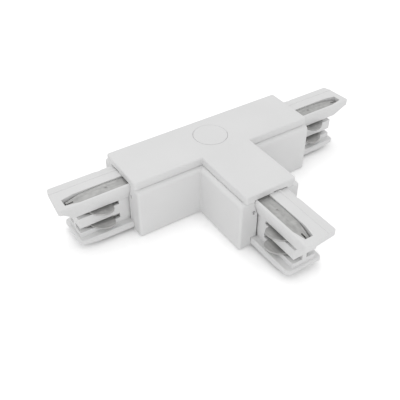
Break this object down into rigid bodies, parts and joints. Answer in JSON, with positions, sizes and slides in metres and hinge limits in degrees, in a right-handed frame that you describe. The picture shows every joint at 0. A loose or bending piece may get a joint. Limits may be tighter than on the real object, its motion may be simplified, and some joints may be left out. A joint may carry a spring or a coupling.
{
  "type": "lighting track connector",
  "caption": "White T-shaped connector that joins three ceiling lighting tracks, with slotted plugs, sprung side contacts and earth strips at its arm ends.",
  "frame": {"origin": "where the centre lines of the three arms cross, on the flat back of the housing", "axes": "+X along the bar of the T towards the right arm, -Y along the stem, +Z out of the back towards the decorated face"},
  "size_m": [0.1832, 0.1086, 0.033],
  "materials": {
    "housing_plastic": "fine satin, white",
    "insulator_plastic": "moulded satin, white",
    "carrier_plastic": "moulded matte, pale grey",
    "contact_metal": "dull tin-plated copper alloy",
    "earth_spring_metal": "dull rolled spring strip",
    "bar_metal": "bare rolled copper alloy",
    "screw_steel": "zinc plated"
  },
  "bodies": {
    "root": {"housing_base": "housing_plastic", "housing_cover": "housing_plastic", "centre_cap": "housing_plastic", "cover_screws": "screw_steel", "bar_carrier": "carrier_plastic", "line_one_bar": "bar_metal", "line_two_bar": "bar_metal", "line_three_bar": "bar_metal", "neutral_bar": "bar_metal", "earth_bar": "bar_metal", "right_plug": "insulator_plastic", "right_earth_strip": "earth_spring_metal", "right_line_one_contact": "contact_metal", "right_line_two_contact": "contact_metal", "right_line_three_contact": "contact_metal", "right_neutral_contact": "contact_metal", "left_plug": "insulator_plastic", "left_earth_strip": "earth_spring_metal", "left_line_one_contact": "contact_metal", "left_line_two_contact": "contact_metal", "left_line_three_contact": "contact_metal", "left_neutral_contact": "contact_metal", "stem_plug": "insulator_plastic", "stem_earth_strip": "earth_spring_metal", "stem_line_one_contact": "contact_metal", "stem_line_two_contact": "contact_metal", "stem_line_three_contact": "contact_metal", "stem_neutral_contact": "contact_metal"}
  },
  "joints": []
}
